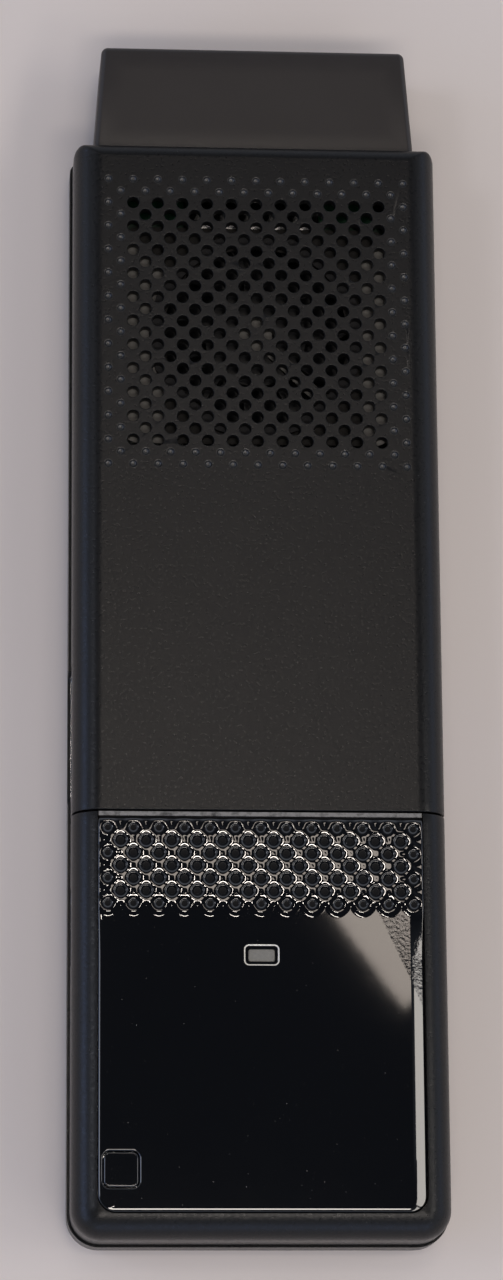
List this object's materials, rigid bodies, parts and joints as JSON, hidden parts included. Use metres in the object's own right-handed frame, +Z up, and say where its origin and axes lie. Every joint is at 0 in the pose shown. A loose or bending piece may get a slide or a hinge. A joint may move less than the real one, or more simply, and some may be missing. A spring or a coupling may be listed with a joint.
{
  "type": "hdmi stick computer",
  "caption": "Flat black stick computer with a capped HDMI plug, a perforated air grille, a gloss tail panel with a dimpled band, side sockets, a card slot and a push button.",
  "frame": {"origin": "centre of the flat underside of the case", "axes": "+Y along the stick towards the HDMI plug, +Z up out of the grille, +X to the right"},
  "size_m": [0.038, 0.1241, 0.012],
  "materials": {
    "case_matte": "fine matte texture",
    "panel_gloss": "high gloss",
    "cap_plastic": "satin",
    "window_clear": "translucent",
    "plated_steel": "nickel plated",
    "contact_gold": "gold plated",
    "socket_black": "moulded",
    "socket_blue": "moulded",
    "board": "solder mask",
    "chip": "moulded package",
    "pad": "soft thermal pad",
    "spreader": "stamped",
    "fan_grey": "moulded",
    "fan_dark": "moulded",
    "fan_plate": "stamped",
    "coil": "wound copper",
    "foam": "closed-cell foam",
    "shield": "tinned",
    "antenna": "printed flex",
    "ferrite": "ferrite",
    "screw": "zinc plated",
    "switch_metal": "stamped",
    "lamp": "diffusing"
  },
  "bodies": {
    "stick": {"bottom_cover": "case_matte", "top_cover": "case_matte", "tail_cover": "case_matte", "gloss_panel": "panel_gloss", "status_window": "window_clear", "hdmi_shell": "plated_steel", "hdmi_insulator": "socket_black", "hdmi_contacts": "contact_gold", "main_board": "board", "board_screws": "screw", "processor": "chip", "thermal_pad": "pad", "heat_spreader": "spreader", "cooling_fins": "spreader", "fan_frame": "fan_grey", "fan_stator": "coil", "fan_cover": "fan_plate", "fan_gasket": "foam", "memory_chips": "chip", "storage_chip": "chip", "wireless_module": "shield", "antennas": "antenna", "inductors": "ferrite", "usb3_shell": "plated_steel", "usb3_tongue": "socket_blue", "usb3_contacts": "contact_gold", "usb2_shell": "plated_steel", "usb2_tongue": "socket_black", "usb2_contacts": "contact_gold", "power_shell": "plated_steel", "power_tongue": "socket_black", "card_socket": "plated_steel", "button_switch": "switch_metal", "status_led": "lamp"},
    "cap": {"hdmi_cap": "cap_plastic"},
    "button": {"power_button": "panel_gloss", "switch_plunger": "lamp"},
    "rotor": {"fan_rotor": "fan_dark"}
  },
  "joints": [
    {"name": "cap_pull", "type": "slide", "parent": "stick", "child": "cap", "axis": [0, 1, 0], "range_m": [0, 0.015]},
    {"name": "button_press", "type": "slide", "parent": "stick", "child": "button", "axis": [0, 0, -1], "range_m": [0, 0.0003], "stiffness_N_per_m": 2000},
    {"name": "fan_spin", "type": "hinge", "parent": "stick", "child": "rotor", "pos_m": [0, 0.0362, 0.009], "axis": [0, 0, 1], "continuous": true}
  ]
}
